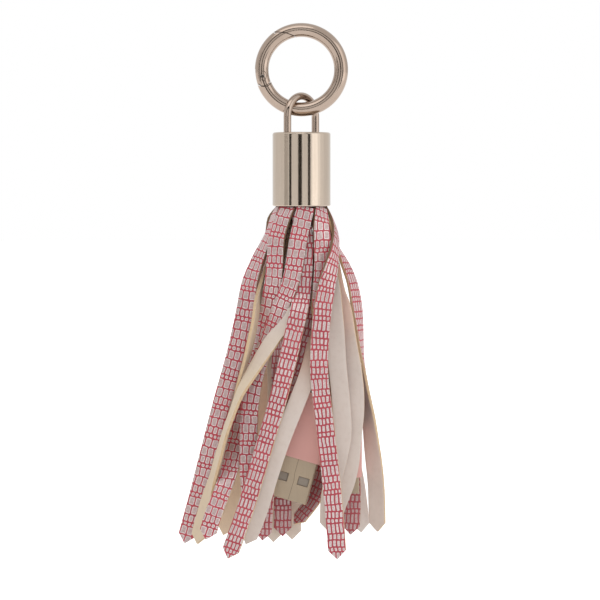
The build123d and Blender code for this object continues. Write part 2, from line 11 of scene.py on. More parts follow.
import bpy
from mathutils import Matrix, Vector


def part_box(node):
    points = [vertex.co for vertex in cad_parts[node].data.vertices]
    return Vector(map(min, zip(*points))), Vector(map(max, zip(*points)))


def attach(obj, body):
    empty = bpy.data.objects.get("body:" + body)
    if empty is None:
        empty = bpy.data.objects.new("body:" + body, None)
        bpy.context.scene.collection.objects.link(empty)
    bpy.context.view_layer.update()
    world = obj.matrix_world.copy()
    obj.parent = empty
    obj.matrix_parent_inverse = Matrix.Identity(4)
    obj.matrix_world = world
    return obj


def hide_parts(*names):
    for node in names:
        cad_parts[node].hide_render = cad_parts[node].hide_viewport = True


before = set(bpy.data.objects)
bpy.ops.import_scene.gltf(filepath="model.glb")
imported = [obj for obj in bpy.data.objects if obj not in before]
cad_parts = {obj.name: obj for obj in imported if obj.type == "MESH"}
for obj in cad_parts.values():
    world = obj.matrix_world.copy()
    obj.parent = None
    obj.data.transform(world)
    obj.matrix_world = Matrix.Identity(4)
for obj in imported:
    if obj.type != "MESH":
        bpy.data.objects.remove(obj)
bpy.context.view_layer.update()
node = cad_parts
mm = 0.001

# %% [markdown]
# ## The camera
# A small object is shot with a long lens from well back, so that it keeps its proportions.
# The camera stands 0.9 m in front, a touch above the middle of the charm, and looks level.

# %% Camera
camera_distance, camera_rise = 0.9, math.radians(2.2)
aim = Vector((-0.45 * mm, 0, -68.94 * mm))       # the middle of the view
camera_data = bpy.data.cameras.new("camera")
camera_data.lens, camera_data.sensor_width = 180, 36
camera = bpy.data.objects.new("camera", camera_data)
bpy.context.scene.collection.objects.link(camera)
towards_camera = Vector((0, -math.cos(camera_rise), math.sin(camera_rise)))
camera.location = aim + camera_distance * towards_camera
camera.rotation_euler = (-towards_camera).to_track_quat("-Z", "Y").to_euler()
bpy.context.scene.camera = camera
bpy.context.scene.view_settings.view_transform = "Standard"
print("camera at", [round(c, 3) for c in camera.location])

# %% [markdown]
# ## The charging lead
# Two legs of one 3 mm lead leave the cap and run down among the strips to their plugs. A lead
# is one smooth line with a round section, so it starts as a NURBS curve. The order is set after
# the points, because a spline with too few points refuses it. The bare line gives the points
# that the lead follows; then it gets its thickness and becomes a mesh tube.

# %% The two legs of the lead
cable_d = 3.0 * mm
lead_runs = {
    "usb_a": [(0, -1.7, -40.8), (0, -1.8, -47), (1.6, -2.2, -56), (5.9, -3.3, -69),
              (9.164, -4, -82.03), (7.059, -4, -89.23)],
    "micro": [(0, 1.7, -40.8), (0, 1.7, -48), (3.2, 1.0, -60), (8.6, -0.6, -73.5),
              (13.9, -2, -88.5), (13.9, -2, -97.9)],
}
leads = {}
for kind, run in lead_runs.items():
    line = bpy.data.curves.new(f"lead_{kind}", "CURVE")
    line.dimensions = "3D"
    spline = line.splines.new("NURBS")
    spline.points.add(len(run) - 1)
    for point, place in zip(spline.points, run):
        point.co = (*(c * mm for c in place), 1)
    spline.order_u = 3
    spline.use_endpoint_u = True
    line.resolution_u = 12
    lead = bpy.data.objects.new(f"lead_{kind}", line)
    bpy.context.scene.collection.objects.link(lead)
    followed = [tuple(v.co) for v in bpy.data.meshes.new_from_object(lead).vertices]
    line.bevel_depth = cable_d / 2
    line.bevel_resolution = 6
    line.use_fill_caps = True
    bpy.ops.object.select_all(action="DESELECT")
    lead.select_set(True)
    bpy.context.view_layer.objects.active = lead
    bpy.ops.object.convert(target="MESH")
    lead = bpy.context.object
    bpy.ops.object.shade_smooth_by_angle(angle=math.radians(40))
    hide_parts(f"cable_{kind}")
    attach(lead, "tassel")
    leads[kind] = lead
    print(lead.name, "follows", len(followed), "points")

# %% [markdown]
# ## Shader arithmetic
# A pattern such as a croc print is arithmetic on coordinates. A wire between nodes is wrapped
# in a small class, so that `a * 2 + b` adds the Math nodes, and one method adds any other node.

# %% Values on wires
def tone(red, green, blue):
    """A colour picked on a screen, 0 to 255, as the linear colour that a shader works in."""
    linear = [((c / 255 + 0.055) / 1.055) ** 2.4 if c > 10 else c / 255 / 12.92
              for c in (red, green, blue)]
    return (*linear, 1)


class Value:
    """The output of a node; arithmetic on it adds Math nodes."""

    def __init__(self, finish, socket):
        self.finish, self.socket = finish, socket

    def math(self, operation, *others, first=None):
        terms = (self, *others) if first is None else (first, self)
        return self.finish.add("ShaderNodeMath", {"operation": operation}, dict(enumerate(terms)))

    def __add__(self, other): return self.math("ADD", other)
    def __sub__(self, other): return self.math("SUBTRACT", other)
    def __rsub__(self, other): return self.math("SUBTRACT", first=other)
    def __mul__(self, other): return self.math("MULTIPLY", other)
    def __truediv__(self, other): return self.math("DIVIDE", other)
    def __rtruediv__(self, other): return self.math("DIVIDE", first=other)
    def __gt__(self, other): return self.math("GREATER_THAN", other)
    def __abs__(self): return self.math("ABSOLUTE")
    __radd__, __rmul__ = __add__, __mul__


class Finish:
    """A material, with one method that adds a node and a few short names for common ones."""

    def __init__(self, name):
        self.material = bpy.data.materials.new(name)
        self.material.use_nodes = True
        self.tree = self.material.node_tree
        self.tree.nodes.clear()

    def add(self, kind, settings=None, inputs=None, out=0):
        """One node: its settings, its inputs as numbers or values, and the output wanted."""
        made = self.tree.nodes.new(kind)
        for key, setting in (settings or {}).items():
            setattr(made, key, setting)
        for key, value in (inputs or {}).items():
            if isinstance(value, Value):
                self.tree.links.new(value.socket, made.inputs[key])
            else:
                made.inputs[key].default_value = value
        return None if out is None else Value(self, made.outputs[out])

    def mix(self, amount, under, over):
        """Two colours, from under at an amount of 0 to over at 1."""
        return self.add("ShaderNodeMix", {"data_type": "RGBA"},
                        {0: amount, 6: under, 7: over}, out=2)

    def smooth(self, value, low, high):
        """Rises smoothly from 0 to 1 as value goes from low to high."""
        return self.add("ShaderNodeMapRange", {"interpolation_type": "SMOOTHSTEP"},
                        {0: value, 1: low, 2: high})

    def place(self):
        """Where the point is on the piece, in metres."""
        return self.add("ShaderNodeTexCoord", out="Object")

    def split(self, vector):
        return [self.add("ShaderNodeSeparateXYZ", inputs={0: vector}, out=k) for k in range(3)]

    def join(self, x, y, z=0.0):
        return self.add("ShaderNodeCombineXYZ", inputs={0: x, 1: y, 2: z})

    def stretch(self, vector, scale):
        return self.add("ShaderNodeMapping", inputs={0: vector, 3: scale})

    def noise(self, vector, scale, detail=2.0, rough=0.5, out="Fac"):
        return self.add("ShaderNodeTexNoise",
                        inputs={"Vector": vector, "Scale": scale, "Detail": detail,
                                "Roughness": rough}, out=out)

    def speck(self, vector):
        """One random number, 0 to 1, for each value of the vector."""
        return self.add("ShaderNodeTexWhiteNoise", {"noise_dimensions": "3D"}, {0: vector})

    def bump(self, height, depth, strength=1.0):
        """depth is how deep a height of 1 stands, in metres."""
        return self.add("ShaderNodeBump", inputs={"Height": height, "Distance": depth,
                                                  "Strength": strength})

    def surface(self, **sockets):
        names = {key.replace("_", " "): value for key, value in sockets.items()}
        shader = self.add("ShaderNodeBsdfPrincipled", inputs=names)
        self.add("ShaderNodeOutputMaterial", inputs={0: shader}, out=None)
        return self.material


print("shader helpers ready")

# %% [markdown]
# ## The printed face of the leather
# The leather is printed like croc skin: silvery rounded scales in rows, with coral between
# them. The rows repeat: two tall rows, a row of little round scales, a middling row. One row
# table gives each print, and the maths finds the row and the scale that a point lies in, how
# far it is from the scale's rounded edge, and a random number for that scale. The coordinates
# are the leather's own flat millimetres, so the print bends with the strip.

# %% The croc print
flat_map = "flat_mm"
soft_edge, emboss = 0.09, 0.00005        # mm, where a scale meets the coral; m, its height
coral, coral_deep = tone(190, 76, 87), tone(168, 58, 72)
silver, silver_painted_highlight, silver_core = tone(198, 181, 178), tone(246, 240, 238), tone(180, 128, 128)


def croc_print(name, rows, corner, gap, dusk=0.0):
    """rows: (height, scale width) in mm until they repeat; corner: how round a scale is, mm;
    gap: half the coral between two scales, mm; dusk: how far the print is darkened
    towards brown, 0 to 1, which on the shaded copy is painted shade."""
    f = Finish(name)
    across, along, _ = f.split(f.add("ShaderNodeUVMap", {"uv_map": flat_map}))
    flat = f.join(across, along)
    # The rows wander a little, as on a pressed skin
    wave_x, wave_y, _ = f.split(f.noise(flat, 0.30, detail=1.0, out="Color"))
    across = across + (wave_x - 0.5) * 0.55
    along = along + (wave_y - 0.5) * 0.5 + f.noise(f.join(across, along), 0.7, 0.0) * 0.30
    # Which row the point is in, and how far up in the rows that repeat
    repeat = sum(height for height, _ in rows)
    turn = (along / repeat).math("FLOOR")
    within = along - turn * repeat
    start, number, row_h, scale_w = 0.0, 0.0, rows[0][0], rows[0][1]
    edge = 0.0
    for k, (height, width) in enumerate(rows[1:]):
        before_h, before_w = rows[k]
        edge += before_h
        past = within > edge
        start = past * before_h + start
        number = past + number
        row_h = past * (height - before_h) + row_h
        scale_w = past * (width - before_w) + scale_w
    # Which scale of that row, and how far the point is from the middle lines of its edges
    row = turn * len(rows) + number
    width = scale_w * (f.speck(f.join(row, 9.1, 2.9)) * 0.14 + 0.93)
    place = across / width + f.speck(f.join(row, 3.7, 1.3)) * 7.0
    column = place.math("FLOOR")
    dx = (0.5 - abs(place - column - 0.5)) * width
    dy = (0.5 - abs((within - start) / row_h - 0.5)) * row_h
    chance = f.speck(f.join(column, row, 5.3))
    # How far inside the scale's rounded outline, in mm
    out_x = (corner - dx).math("MAXIMUM", 0.0)
    out_y = (corner - dy).math("MAXIMUM", 0.0)
    rounded = (out_x * out_x + out_y * out_y).math("SQRT")
    inside = dx.math("MINIMUM", dy).math("MINIMUM", corner) + out_x.math(
        "MAXIMUM", out_y) - rounded
    grain = f.noise(f.join(across, along), 5.0, 3.0, 0.6)
    inside = inside + (grain - 0.5) * 0.10 + (chance - 0.5) * 0.05
    # The scale, a painted highlight along its rim, its rubbed core, and the worn places of the
    # print
    scale = f.smooth(inside, gap, gap + soft_edge)
    rim = f.smooth(inside, 0.22, 0.28) * f.smooth(inside, 0.50, 0.36)
    streak = f.noise(f.stretch(f.join(across, along), (3.6, 1.3, 1.0)), 1.0, 4.0, 0.75)
    core = f.smooth(inside, 0.30, 0.55) * f.smooth(streak, 0.42, 0.58)
    patch = f.noise(f.join(across, along), 0.11, 1.0)
    glint = f.noise(f.join(across, along), 2.3, 3.0, 0.7)
    body = f.mix(f.smooth(chance, 0.0, 1.0) * 0.35, silver, tone(186, 176, 174))
    body = f.mix(core * 0.62, body, silver_core)
    # Painted highlight: scale rims lightened where the glint noise is high
    body = f.mix(rim * f.smooth(glint, 0.34, 0.62) * 0.75, body, silver_painted_highlight)
    ink = f.mix(f.smooth(patch, 0.35, 0.65) * 0.6, coral, coral_deep)
    ink = f.mix(f.smooth(grain, 0.58, 0.8) * 0.25, ink, tone(232, 130, 140))
    # The whole print darkened towards brown: a little on the narrow print, and as painted shade
    # on the copy for the inner strips
    colour = f.mix(dusk, f.mix(scale, ink, body), tone(150, 78, 80))
    fine = f.noise(f.join(across, along), 16.0, 2.0, 0.6)
    height = scale * 0.7 + core * 0.12 + fine * 0.12
    return f.surface(
        Base_Color=colour, Metallic=scale * 0.34, Roughness=0.48 - scale * 0.18 + fine * 0.08,
        Normal=f.bump(height, emboss, 0.6), Specular_IOR_Level=0.4)


wide_print = croc_print("croc_print_wide", [(2.75, 2.0), (2.75, 2.0), (1.3, 1.3), (2.3, 1.5)],
                        0.52, 0.15)
narrow_rows = [(3.05, 1.22), (1.4, 1.14), (2.1, 1.16), (2.05, 1.2)]
narrow_print = croc_print("croc_print_narrow", narrow_rows, 0.42, 0.18, dusk=0.10)
# A copy of the narrow print darkened as painted shade, for the strips that lie in shadow inside
# the tassel
shaded_print = croc_print("croc_print_painted_shade", narrow_rows, 0.42, 0.18, dusk=0.45)
print("prints", wide_print.name, narrow_print.name)

# %% [markdown]
# ## The back and the cut edges
# The back is a pale napped backing, matt, with a soft mottle where it has been handled. The
# cut edge shows the tan core of the sheet, fibrous along the strip.

# %% Suede back and tan edge
def suede(name, low, high):
    """low and high: the tone at the tip and at the cap."""
    f = Finish(name)
    across, along, _ = f.split(f.add("ShaderNodeUVMap", {"uv_map": flat_map}))
    flat = f.join(across, along)
    drift = f.noise(flat, 0.05, 2.0)
    cloud = f.noise(flat, 0.6, 3.0, 0.6)
    nap = f.noise(flat, 9.0, 4.0, 0.7)
    hair = f.noise(f.stretch(flat, (9.0, 1.6, 1.0)), 1.4, 3.0, 0.6)
    colour = f.mix(f.smooth(along + (drift - 0.5) * 30, 48, 82), low, high)
    colour = f.mix(f.smooth(cloud, 0.40, 0.8) * 0.16, colour, tone(186, 160, 146))
    colour = f.mix(f.smooth(nap, 0.35, 0.75) * 0.16, colour, tone(240, 232, 222))
    return f.surface(
        Base_Color=colour, Roughness=0.82 + nap * 0.12, Specular_IOR_Level=0.25,
        Normal=f.bump(nap * 0.6 + hair * 0.4, 0.00004, 0.5), Sheen_Weight=0.15,
        Sheen_Roughness=0.5)


def tan_edge(name, cap_shade):
    """cap_shade: the tone of the painted shade on the edge near the cap, where the strips crowd
    together.
    """
    f = Finish(name)
    across, along, _ = f.split(f.add("ShaderNodeUVMap", {"uv_map": flat_map}))
    flat = f.join(across, along)
    layer = f.noise(f.stretch(flat, (14.0, 1.0, 1.0)), 1.0, 3.0, 0.6)
    blot = f.noise(flat, 0.5, 2.0)
    colour = f.mix(f.smooth(layer, 0.3, 0.7), tone(206, 176, 138), tone(228, 203, 168))
    colour = f.mix(f.smooth(blot, 0.5, 0.75) * 0.4, colour, tone(190, 150, 114))
    # Painted shade: the edge darkens towards the cap
    colour = f.mix(f.smooth(along, 66, 90) * 0.9, colour, cap_shade)
    return f.surface(Base_Color=colour, Roughness=0.68 + layer * 0.15, Specular_IOR_Level=0.3,
                     Normal=f.bump(layer, 0.00006, 0.6))


cream, tan, blush = tone(219, 205, 196), tone(222, 202, 174), tone(246, 204, 182)
cream_back = suede("suede_cream", cream, cream)
tan_back = suede("suede_tan", tan, tan)
turned_back = suede("suede_turned", tan, cream)
blush_back = suede("suede_blush", cream, blush)
# Strip 07: painted shade, the backing darker and pinker towards the cap
rose_shaded_back = suede("suede_rose_painted_shade", tone(222, 205, 194), tone(218, 190, 180))
# Strip 14: painted light, the backing lighter towards the tip
lit_pearl_back = suede("suede_pearl_painted_light", tone(232, 222, 215), blush)
shaded_back = suede("suede_shaded", cream, tone(204, 164, 144))
# Painted light: lighter copies of the tan and the cream towards the tip, for strips that lie in
# shade
lit_tan_back = suede("suede_tan_painted_light", tone(244, 220, 192), tan)
lit_cream_back = suede("suede_bright", tone(234, 219, 206), cream)
# Painted shade on the cut edges near the cap: dark brown, and paler on strip 07
cut_edge = tan_edge("cut_edge", tone(112, 84, 64))
pale_edge = tan_edge("cut_edge_pale", tone(196, 160, 118))
print("backs", cream_back.name, tan_back.name, rose_shaded_back.name, "edge", cut_edge.name)

# %% [markdown]
# ## One flat strip
# Every strip is cut from the same sheet: 5.4 mm wide, 0.9 mm thick, the end cut to a right
# angled point. So one flat strip is modelled, as by hand, from a cube: cut into rows along
# its length and across, its long corners rounded, its end bisected twice at 45 degrees.

# %% Model the flat strip, in millimetres
strip_w, strip_t, longest = 5.4, 0.9, 132.0
rows_along, cuts_across, corner_round = 131, 5, 0.13
tiny = 0.01


def only(piece):
    """Makes piece the active object and the only one selected."""
    bpy.ops.object.select_all(action="DESELECT")
    piece.select_set(True)
    bpy.context.view_layer.objects.active = piece


def pick_edges(piece, wanted):
    """In edit mode, selects the edges whose two ends pass the test."""
    bpy.ops.object.mode_set(mode="OBJECT")
    for part in (piece.data.vertices, piece.data.edges, piece.data.polygons):
        part.foreach_set("select", [False] * len(part))
    place = [v.co.copy() for v in piece.data.vertices]
    for edge in piece.data.edges:
        edge.select = wanted(place[edge.vertices[0]], place[edge.vertices[1]])
    bpy.ops.object.mode_set(mode="EDIT")


bpy.ops.object.select_all(action="DESELECT")
bpy.ops.mesh.primitive_cube_add(size=1, location=(0, 0, longest / 2))
flat_strip = bpy.context.object
flat_strip.name = "flat_strip"
flat_strip.scale = (strip_w, strip_t, longest)
bpy.ops.object.transform_apply(location=True, rotation=False, scale=True)
bpy.ops.object.mode_set(mode="EDIT")
bpy.ops.mesh.select_mode(type="EDGE")
pick_edges(flat_strip, lambda a, b: abs(a.z - b.z) > tiny)
bpy.ops.mesh.bevel(offset=corner_round, segments=2, affect="EDGES")
pick_edges(flat_strip, lambda a, b: abs(a.z - b.z) > tiny)
bpy.ops.mesh.subdivide(number_cuts=rows_along)
pick_edges(flat_strip, lambda a, b: abs(a.x - b.x) > 4)
bpy.ops.mesh.subdivide(number_cuts=cuts_across)
for lean in (1, -1):
    bpy.ops.mesh.select_all(action="SELECT")
    bpy.ops.mesh.bisect(plane_co=(0, 0, 0), plane_no=(lean, 0, -1), use_fill=True,
                        clear_outer=True)
bpy.ops.object.mode_set(mode="OBJECT")
print("flat strip", len(flat_strip.data.vertices), "points,", round(max(
    v.co.z for v in flat_strip.data.vertices), 1), "mm long")

# %% [markdown]
# ## Where each strip runs
# The model holds each strip as a stack of level sections. Reading them back gives the middle
# of the strip and the way across it at each level. The printed side faces outwards at the cap
# and is followed down from there, so a strip that twists shows its suede where it should.

# %% Read the sections of a strip
level_step, same_level = 3.2 * mm, 0.005 * mm
most_levels, tip_zone = 60, 2.75 * mm


def sections_of(name):
    """Middle and direction across, from the cap down to the tip."""
    points = {tuple(round(c, 6) for c in v.co) for v in node[name].data.vertices}
    top, tip = max(p[2] for p in points), min(p[2] for p in points)
    levels = [top - level_step * k for k in range(most_levels)
              if top - level_step * k > tip + tip_zone]
    found = []
    for level in [*levels, tip]:
        ring = [Vector(p) for p in points if abs(p[2] - level) < same_level]
        if not ring:
            continue
        middle = sum(ring, Vector()) / len(ring)
        if level == tip:
            found.append((middle, found[-1][1].copy()))
            continue
        xx, yy, xy = (sum(getattr(p - middle, a) * getattr(p - middle, b) for p in ring)
                      for a, b in ("xx", "yy", "xy"))
        angle = 0.5 * math.atan2(2 * xy, xx - yy)
        wide = Vector((math.cos(angle), math.sin(angle), 0))
        if found:
            wide = wide if wide.dot(found[-1][1]) > 0 else -wide
        elif Vector((wide.y, -wide.x, 0)).dot(middle.xy.to_3d()) < 0:
            wide = -wide
        found.append((middle, wide))
    return found


def through(values, at):
    """A smooth curve through evenly numbered values, at a number between them."""
    k = min(int(at), len(values) - 2)
    t = at - k
    before, after = values[max(k - 1, 0)], values[min(k + 2, len(values) - 1)]
    a, b = values[k], values[k + 1]
    return 0.5 * (2 * a + (b - before) * t + (2 * before - 5 * a + 4 * b - after) * t**2
                  + (3 * a - before - 3 * b + after) * t**3)


steps_per_level = 8


def course_of(name):
    """Closely spaced (distance from the cap, middle, across, outward, width share)."""
    found = sections_of(name)
    middles = [m for m, _ in found]
    turn, turns = 0.0, []
    for k, (_, wide) in enumerate(found):
        if k:
            turn += found[k - 1][1].xy.angle_signed(wide.xy)
        turns.append(-turn)
    first = math.atan2(found[0][1].y, found[0][1].x)
    line = []
    for step in range((len(found) - 1) * steps_per_level + 1):
        at = step / steps_per_level
        angle = first + through(turns, at)
        line.append((through(middles, at), Vector((math.cos(angle), math.sin(angle), 0))))
    course, run = [], 0.0
    for k, (middle, wide) in enumerate(line):
        ahead, behind = line[min(k + 1, len(line) - 1)][0], line[max(k - 1, 0)][0]
        forward = (ahead - behind).normalized()
        if k:
            run += (middle - line[k - 1][0]).length
        across = wide - forward * wide.dot(forward)
        course.append((run, middle, across.normalized(), forward.cross(across.normalized()),
                       across.length))
    return course


course = course_of("strand_01")
print("strand_01 runs", round(course[-1][0] / mm, 1), "mm")

# %% [markdown]
# ## Bend the strips
# A copy of the flat strip is trimmed to the length of its course and wrapped on it: the flat
# height becomes distance along the course. A trace of cupping and a slow ripple, different for
# each strip, keep it from looking machined. Its flat place stays behind as the UV map.

# %% Wrap a strip on its course
cup = 0.16                        # mm, how far the middle stands proud of the edges
ripple = 0.10                     # mm, height of the slow waves
settled = 15                      # mm below the cap, where cup and ripple reach their full size
pale_edged = 7                    # the strip whose edge shows pale at the cap


def wrap(number, face, back, print_shift):
    """Strip number on its course; print_shift, in mm, moves the print along it."""
    name = f"strand_{number:02d}"
    course = course_of(name)
    length = course[-1][0] / mm
    piece = flat_strip.copy()
    piece.data = flat_strip.data.copy()
    piece.name = f"leather_strip_{number:02d}"
    bpy.context.scene.collection.objects.link(piece)
    only(piece)
    bpy.ops.object.mode_set(mode="EDIT")
    bpy.ops.mesh.select_all(action="SELECT")
    bpy.ops.mesh.bisect(plane_co=(0, 0, length), plane_no=(0, 0, 1), use_fill=True,
                        clear_outer=True)
    bpy.ops.object.mode_set(mode="OBJECT")
    mesh = piece.data
    flat = [v.co.copy() for v in mesh.vertices]
    for material in (face, back, pale_edge if number == pale_edged else cut_edge):
        mesh.materials.append(material)
    while mesh.uv_layers:
        mesh.uv_layers.remove(mesh.uv_layers[0])
    layer = mesh.uv_layers.new(name=flat_map)
    chance = random.Random(number)
    shift_u, phases = chance.uniform(0, 40), [chance.uniform(0, math.tau) for _ in range(3)]
    for polygon in mesh.polygons:
        side = 2 if abs(polygon.normal.y) < 0.75 else (0 if polygon.normal.y < 0 else 1)
        polygon.material_index = side
        for loop in polygon.loop_indices:
            p = flat[mesh.loops[loop].vertex_index]
            u = p.x + shift_u if side < 2 else p.y + shift_u
            layer.data[loop].uv = (u, p.z + print_shift)
    k = 0
    order = sorted(range(len(flat)), key=lambda i: -flat[i].z)
    for i in order:
        p = flat[i]
        s = max(0.0, length - p.z) * mm
        while k < len(course) - 2 and course[k + 1][0] < s:
            k += 1
        a, b = course[k], course[k + 1]
        t = min(1, (s - a[0]) / (b[0] - a[0]))
        middle, across, out = (a[j].lerp(b[j], t) for j in (1, 2, 3))
        share = a[4] + (b[4] - a[4]) * t
        away = min(1, s / mm / settled)
        lift = cup * (1 - (2 * p.x / strip_w) ** 2) - cup / 2
        lift += ripple * away * math.sin(s / mm / 3.1 + phases[0]) * math.sin(
            p.x * 0.5 + s / mm / 7 + phases[1])
        mesh.vertices[i].co = (middle + across.normalized() * (p.x * share * mm)
                               + out.normalized() * ((lift * away - p.y) * mm))
    only(piece)
    bpy.ops.object.shade_smooth_by_angle(angle=math.radians(40))
    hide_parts(name)
    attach(piece, "tassel")
    return piece


strip_finish = {
    1: (wide_print, cream_back, 0.0), 2: (wide_print, tan_back, 3.0),
    3: (wide_print, cream_back, 1.5), 4: (wide_print, cream_back, 4.0),
    5: (wide_print, shaded_back, 5.5), 6: (narrow_print, cream_back, 0.6),
    7: (narrow_print, rose_shaded_back, 2.2), 8: (narrow_print, tan_back, 1.2),
    9: (wide_print, turned_back, 6.1), 10: (shaded_print, cream_back, 2.6),
    11: (narrow_print, cream_back, 4.4), 12: (narrow_print, blush_back, 3.3),
    13: (shaded_print, cream_back, 5.0), 14: (narrow_print, lit_pearl_back, 0.4),
    15: (shaded_print, lit_cream_back, 1.9), 16: (shaded_print, lit_cream_back, 3.6),
    17: (wide_print, lit_cream_back, 2.4), 18: (shaded_print, lit_cream_back, 4.9),
    19: (wide_print, cream_back, 1.1), 20: (wide_print, lit_tan_back, 6.6),
}
strips = [wrap(number, *finish) for number, finish in strip_finish.items()]
bpy.data.objects.remove(flat_strip)
print("flat lengths in mm", {s.name[-2:]: round(course_of(f"strand_{s.name[-2:]}")[-1][0] / mm, 1)
                             for s in strips})
print("strips", len(strips), "with", sum(len(s.data.polygons) for s in strips), "faces")

# %% [markdown]
# ## Warm brushed nickel
# The cap, ring, gate and bail are warm nickel with a fine satin grain. On the cap the grain
# runs round it, as a polishing belt leaves it. The grain is noise stretched that way, and it
# moves the roughness and a shallow bump; a slow mottle keeps the tone from being one flat tint.
# A joint or a seam is too fine to show at this size, so it is drawn as a thin dark line; the
# rims of the plug's two windows get a dark line too, as painted shade. The corners of a line are
# in millimetres, seen from the front, and the maths is the distance to each run.

# %% Nickel, steel and the plug shells
def line_on(f, course, thick):
    """1 on a thin drawn line seen from the front, 0 away from it; the course is in mm."""
    x, _, z = f.split(f.place())
    dark = 0.0
    # off: the distance to the nearest place of the run from a to b
    for (ax, az), (bx, bz) in zip(course, course[1:]):
        dx, dz = bx - ax, bz - az
        px, pz = x / mm - ax, z / mm - az
        t = ((px * dx + pz * dz) / (dx * dx + dz * dz)).math("MAXIMUM", 0.0).math("MINIMUM", 1.0)
        off_x, off_z = px - t * dx, pz - t * dz
        off = (off_x * off_x + off_z * off_z).math("SQRT")
        dark = f.smooth(off, thick, thick * 0.4).math("MAXIMUM", dark)
    return dark


def nickel(name, base, warm, grain_stretch, rough=0.1, grain=0.8, lines=(), depth=0.9,
           grit_share=0.3):
    """lines: (course in mm, thickness in mm) of each joint, seam or window rim that shows as a
    dark line; on a window rim it is painted shade.
    """
    f = Finish(name)
    place = f.place()
    brushed = f.noise(f.stretch(place, grain_stretch), 1.0, 4.0, 0.65)
    grit = f.noise(place, 5200, 2.0, 0.6)
    mottle = f.noise(place, 120, 3.0, 0.6)
    scratch = f.noise(f.stretch(place, (260, 260, 2600)), 1.0, 1.0)
    colour = f.mix(f.smooth(mottle, 0.35, 0.7) * 0.5, base, warm)
    colour = f.mix(f.smooth(grit, 0.55, 0.8) * 0.14, colour, tone(120, 104, 88))
    marks = f.smooth(scratch, 0.68, 0.74)
    belt = f.noise(f.stretch(place, (2400, 2400, 60)), 1.0, 3.0, 0.6)
    colour = f.mix(f.smooth(belt, 0.35, 0.7) * 0.12, colour, tone(140, 122, 106))
    dark = 0.0
    for course, thick in lines:
        dark = line_on(f, course, thick).math("MAXIMUM", dark)
    if lines:
        colour = f.mix(dark * depth, colour, tone(62, 50, 42))
    return f.surface(
        Base_Color=colour, Metallic=1.0,
        Roughness=dark * 0.3 + rough + brushed * 0.08 + marks * 0.05 + mottle * 0.03,
        Normal=f.bump(brushed * grain + grit * grit_share, 0.000006, 0.4))


ring_joint = [(-8.4, 11.3), (-4.6, 10.9), (-1.9, 9.9)]
gate_end = [(-12.7, -4.3), (-11.9, -5.0), (-10.8, -5.15), (-9.9, -4.8), (-9.2, -4.1)]
rivet_x, rivet_z, rivet_half_w, rivet_half_h, rivet_sides = -11.4, -1.9, 0.9, 1.5, 10
rivet = [(rivet_x + rivet_half_w * math.cos(k * math.tau / rivet_sides),
          rivet_z + rivet_half_h * math.sin(k * math.tau / rivet_sides))
         for k in range(rivet_sides + 1)]

# The shell of the large plug: the middle of its upper edge, and its two directions
usb_lean = math.radians(16.3)
shell_top = Vector((-0.8, -116.1))
shell_down = Vector((-math.sin(usb_lean), -math.cos(usb_lean)))
shell_right = Vector((math.cos(usb_lean), -math.sin(usb_lean)))


def on_shell(right, down):
    """The place that lies right and down, in mm, from the middle of the shell's upper edge."""
    return tuple(shell_top + shell_right * right + shell_down * down)


seam = [on_shell(*spot) for spot in ((0, 0), (0.05, 4.6), (0.4, 6.6), (0.35, 12.5))]
window_half_w, window_half_h, window_aside, window_down = 1.55, 1.2, 3.2, 6.3
round_window = ((-1, -1), (1, -1), (1, 1), (-1, 1), (-1, -1))
# The outlines of the two windows, drawn dark as painted shade round the rims of the holes
window_shade_rims = [[on_shell(middle + side * window_half_w, window_down + end * window_half_h)
            for side, end in round_window] for middle in (-window_aside, window_aside)]
nickel_cap = nickel("nickel_cap", tone(188, 174, 159), tone(192, 176, 160),
                    (350, 350, 9000), 0.04, grit_share=1.4)
nickel_ring = nickel("nickel_ring", tone(170, 153, 140), tone(158, 140, 126),
                     (900, 900, 900), 0.06,
                     lines=[(ring_joint, 0.19), (gate_end, 0.17), (rivet, 0.11)])
steel = nickel("spring_steel", tone(150, 146, 142), tone(130, 124, 118), (3000, 3000, 3000), 0.25)
shell_finish = nickel("plug_shell", tone(160, 145, 126), tone(168, 150, 128),
                      (1600, 1600, 1600), 0.36, 1.0, depth=0.45,
                      lines=[(seam, 0.09), *((window, 0.16) for window in window_shade_rims)])
print("metals ready")

# %% [markdown]
# ## Plastics of the lead
# The grip is salmon plastic moulded with a fine spark texture; the relief and the jacket are
# dark flexible plastic; the insert is pale grey, with gilt contacts.

# %% Plastics
spark_grain = 3800                       # grains of the mould's texture, per metre


def plastic(name, base, shade, rough, spark=1.0):
    """shade: the tone that base drifts to; spark: how deep the grain is."""
    f = Finish(name)
    place = f.place()
    texture = f.noise(place, spark_grain, 2.0, 0.6)
    drift = f.noise(place, 90, 2.0)
    colour = f.mix(f.smooth(drift, 0.35, 0.7) * 0.5, base, shade)
    return f.surface(Base_Color=colour, Roughness=rough + texture * 0.12,
                     Normal=f.bump(texture * spark, 0.00002, 0.6), Specular_IOR_Level=0.4)


grip_finish = plastic("grip_salmon", tone(224, 170, 162), tone(216, 160, 152), 0.5)
jacket_finish = plastic("lead_jacket", tone(86, 80, 80), tone(70, 64, 66), 0.5, 0.6)
relief_finish = plastic("relief_dark", tone(78, 72, 72), tone(62, 58, 60), 0.55, 0.8)
insert_finish = plastic("insert_grey", tone(164, 153, 140), tone(148, 138, 126), 0.45, 0.5)
compound_finish = plastic("setting_compound", tone(196, 188, 170), tone(180, 170, 150), 0.6)
contact_finish = nickel("contact_gilt", tone(214, 178, 110), tone(200, 160, 92),
                        (2000, 2000, 2000), 0.3)

